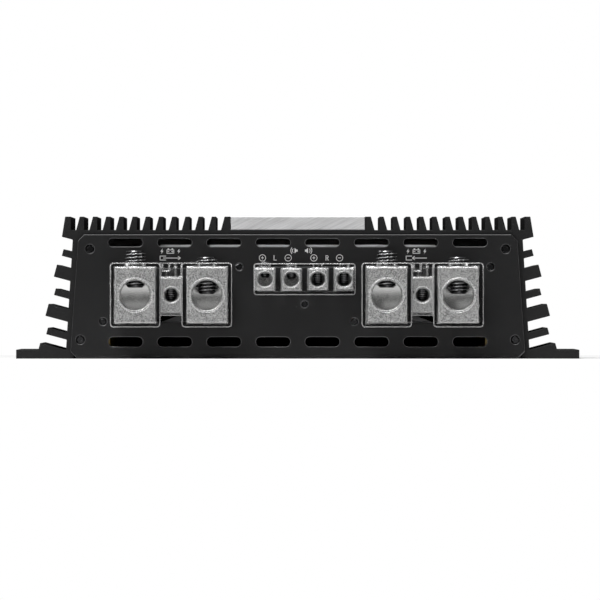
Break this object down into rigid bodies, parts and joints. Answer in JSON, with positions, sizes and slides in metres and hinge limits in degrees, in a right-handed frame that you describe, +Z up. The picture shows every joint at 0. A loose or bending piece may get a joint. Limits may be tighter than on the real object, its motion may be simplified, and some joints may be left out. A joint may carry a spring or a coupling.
{
  "type": "car audio amplifier",
  "caption": "Low, wide car audio amplifier: finned black extruded housing with mounting feet, clear-covered clamping terminals at one end and jacks and trimmers at the other.",
  "frame": {"origin": "middle of the whole footprint, on the surface that the feet stand on", "axes": "+Z up, +Y from the terminal end towards the control end, +X to the right seen from the terminal end"},
  "size_m": [0.2142, 0.252, 0.0541],
  "materials": {
    "black_anodised": "black anodised aluminium extrusion, satin",
    "brushed_aluminium": "brushed, clear anodised",
    "black_sheet": "satin black powder coat",
    "black_screws": "black oxide",
    "bright_screws": "zinc plated",
    "clear_plastic": "clear moulded polycarbonate",
    "nickel_blocks": "nickel plated, bead blasted faces",
    "plated_set_screws": "nickel plated",
    "black_moulding": "moulded nylon",
    "copper_bars": "tinned copper strip",
    "green_board": "glass epoxy board",
    "brass_posts": "turned brass",
    "ferrite": "coated ferrite",
    "copper_windings": "enamelled copper wire",
    "choke": "enamelled copper wire on a toroid",
    "capacitor_sleeve": "shrink sleeve over aluminium",
    "transistor_case": "moulded epoxy",
    "thermal_pad": "silicone pad",
    "clamp_steel": "spring steel strip",
    "gold_sleeves": "gold flash",
    "trimmer_case": "moulded case",
    "trimmer_shaft": "moulded shaft",
    "switch_case": "stamped shell",
    "switch_tab": "moulded tab",
    "led_lens": "tinted lens"
  },
  "bodies": {
    "root": {"heatsink_housing": "black_anodised", "top_trim_plate": "brushed_aluminium", "trim_plate_screws": "bright_screws", "bottom_cover": "black_sheet", "bottom_cover_screws": "black_screws", "status_leds": "led_lens", "terminal_end_plate": "black_sheet", "terminal_plate_screws": "black_screws", "control_end_plate": "black_sheet", "control_plate_screws": "black_screws", "power_base_left": "black_moulding", "power_base_right": "black_moulding", "power_cover_left": "clear_plastic", "power_cover_right": "clear_plastic", "power_block_1": "nickel_blocks", "power_block_2": "nickel_blocks", "power_block_3": "nickel_blocks", "power_block_4": "nickel_blocks", "remote_block_left": "nickel_blocks", "remote_block_right": "nickel_blocks", "speaker_base": "black_moulding", "speaker_cover": "clear_plastic", "speaker_block_1": "nickel_blocks", "speaker_block_2": "nickel_blocks", "speaker_block_3": "nickel_blocks", "speaker_block_4": "nickel_blocks", "terminal_base_screws": "black_screws", "bus_bars": "copper_bars", "bus_bar_bolts": "bright_screws", "main_circuit_board": "green_board", "board_standoffs": "brass_posts", "board_screws": "bright_screws", "transformer_cores": "ferrite", "transformer_windings": "copper_windings", "output_inductors": "choke", "supply_capacitors": "capacitor_sleeve", "power_transistors": "transistor_case", "thermal_pads": "thermal_pad", "clamp_bars": "clamp_steel", "clamp_screws": "bright_screws", "phono_jacks": "black_moulding", "phono_jack_sleeves": "gold_sleeves", "trimmer_bodies": "trimmer_case", "switch_body": "switch_case", "level_jack": "black_moulding"},
    "power_set_screw_1": {"power_set_screw_1": "plated_set_screws"},
    "power_set_screw_2": {"power_set_screw_2": "plated_set_screws"},
    "power_set_screw_3": {"power_set_screw_3": "plated_set_screws"},
    "power_set_screw_4": {"power_set_screw_4": "plated_set_screws"},
    "remote_set_screw_left": {"remote_set_screw_left": "plated_set_screws"},
    "remote_set_screw_right": {"remote_set_screw_right": "plated_set_screws"},
    "speaker_set_screw_1": {"speaker_set_screw_1": "plated_set_screws"},
    "speaker_set_screw_2": {"speaker_set_screw_2": "plated_set_screws"},
    "speaker_set_screw_3": {"speaker_set_screw_3": "plated_set_screws"},
    "speaker_set_screw_4": {"speaker_set_screw_4": "plated_set_screws"},
    "switch_slider": {"switch_slider": "switch_tab"},
    "gain_trimmer": {"gain_trimmer": "trimmer_shaft"},
    "low_pass_trimmer": {"low_pass_trimmer": "trimmer_shaft"},
    "subsonic_trimmer": {"subsonic_trimmer": "trimmer_shaft"},
    "bass_trimmer": {"bass_trimmer": "trimmer_shaft"}
  },
  "joints": [
    {"name": "power_screw_1_drive", "type": "slide", "parent": "root", "child": "power_set_screw_1", "axis": [0, 0, 1], "range_m": [-0.0076, 0.0032]},
    {"name": "power_screw_2_drive", "type": "slide", "parent": "root", "child": "power_set_screw_2", "axis": [0, 0, 1], "range_m": [-0.0052, 0.0056]},
    {"name": "power_screw_3_drive", "type": "slide", "parent": "root", "child": "power_set_screw_3", "axis": [0, 0, 1], "range_m": [-0.0076, 0.0032]},
    {"name": "power_screw_4_drive", "type": "slide", "parent": "root", "child": "power_set_screw_4", "axis": [0, 0, 1], "range_m": [-0.0052, 0.0056]},
    {"name": "remote_screw_left_drive", "type": "slide", "parent": "root", "child": "remote_set_screw_left", "axis": [0, 0, 1], "range_m": [-0.0001, 0.005]},
    {"name": "remote_screw_right_drive", "type": "slide", "parent": "root", "child": "remote_set_screw_right", "axis": [0, 0, 1], "range_m": [-0.0001, 0.005]},
    {"name": "speaker_screw_1_drive", "type": "slide", "parent": "root", "child": "speaker_set_screw_1", "axis": [0, 0, 1], "range_m": [-0.0028, 0.0025]},
    {"name": "speaker_screw_2_drive", "type": "slide", "parent": "root", "child": "speaker_set_screw_2", "axis": [0, 0, 1], "range_m": [-0.0023, 0.003]},
    {"name": "speaker_screw_3_drive", "type": "slide", "parent": "root", "child": "speaker_set_screw_3", "axis": [0, 0, 1], "range_m": [-0.0001, 0.0052]},
    {"name": "speaker_screw_4_drive", "type": "slide", "parent": "root", "child": "speaker_set_screw_4", "axis": [0, 0, 1], "range_m": [-0.0001, 0.0052]},
    {"name": "switch_slide", "type": "slide", "parent": "root", "child": "switch_slider", "axis": [1, 0, 0], "range_m": [-0.002, 0.002]},
    {"name": "gain_turn", "type": "hinge", "parent": "root", "child": "gain_trimmer", "pos_m": [-0.02, 0.1145, 0.0251], "axis": [0, 1, 0], "range_deg": [-150, 150]},
    {"name": "low_pass_turn", "type": "hinge", "parent": "root", "child": "low_pass_trimmer", "pos_m": [-0.005, 0.1145, 0.0251], "axis": [0, 1, 0], "range_deg": [-150, 150]},
    {"name": "subsonic_turn", "type": "hinge", "parent": "root", "child": "subsonic_trimmer", "pos_m": [0.01, 0.1145, 0.0251], "axis": [0, 1, 0], "range_deg": [-150, 150]},
    {"name": "bass_turn", "type": "hinge", "parent": "root", "child": "bass_trimmer", "pos_m": [0.025, 0.1145, 0.0251], "axis": [0, 1, 0], "range_deg": [-150, 150]}
  ]
}
